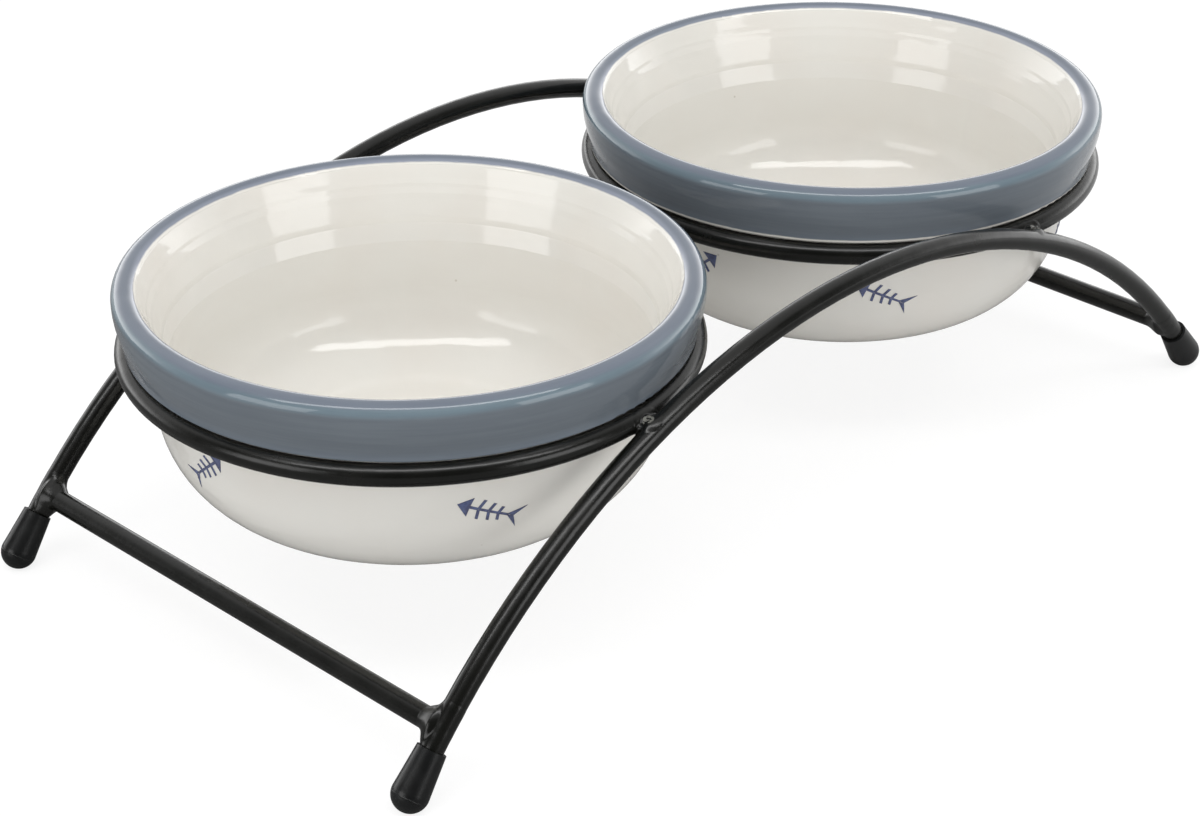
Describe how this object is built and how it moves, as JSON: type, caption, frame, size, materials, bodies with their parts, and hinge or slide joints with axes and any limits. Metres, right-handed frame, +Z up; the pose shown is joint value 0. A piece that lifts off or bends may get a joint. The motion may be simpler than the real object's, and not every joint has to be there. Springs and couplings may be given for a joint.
{
  "type": "double pet bowl",
  "caption": "Double pet bowl: glazed ceramic bowls with a coloured rim band hang by a ledge in the rings of an arched black wire stand with soft foot caps.",
  "frame": {"origin": "middle of the stand, on the surface that the foot caps stand on", "axes": "+X from the left bowl to the right bowl, +Y from the front side rod to the back one, +Z up"},
  "size_m": [0.2826, 0.143, 0.0771],
  "materials": {
    "stand_paint": "satin black powder coat on round steel wire",
    "foot_rubber": "matt black moulded rubber",
    "bowl_glaze": "glossy cream glaze with a grey-blue glazed band round the rim"
  },
  "bodies": {
    "stand": {"front_side_rod": "stand_paint", "back_side_rod": "stand_paint", "left_ring": "stand_paint", "right_ring": "stand_paint", "left_crossbar": "stand_paint", "right_crossbar": "stand_paint", "ring_welds": "stand_paint", "crossbar_welds": "stand_paint", "front_left_foot_cap": "foot_rubber", "front_right_foot_cap": "foot_rubber", "back_left_foot_cap": "foot_rubber", "back_right_foot_cap": "foot_rubber"},
    "left_bowl": {"left_bowl": "bowl_glaze"},
    "right_bowl": {"right_bowl": "bowl_glaze"}
  },
  "joints": [
    {"name": "left_bowl_lift", "type": "slide", "parent": "stand", "child": "left_bowl", "axis": [0, 0, 1], "range_m": [0, 0.06]},
    {"name": "right_bowl_lift", "type": "slide", "parent": "stand", "child": "right_bowl", "axis": [0, 0, 1], "range_m": [0, 0.06]}
  ]
}
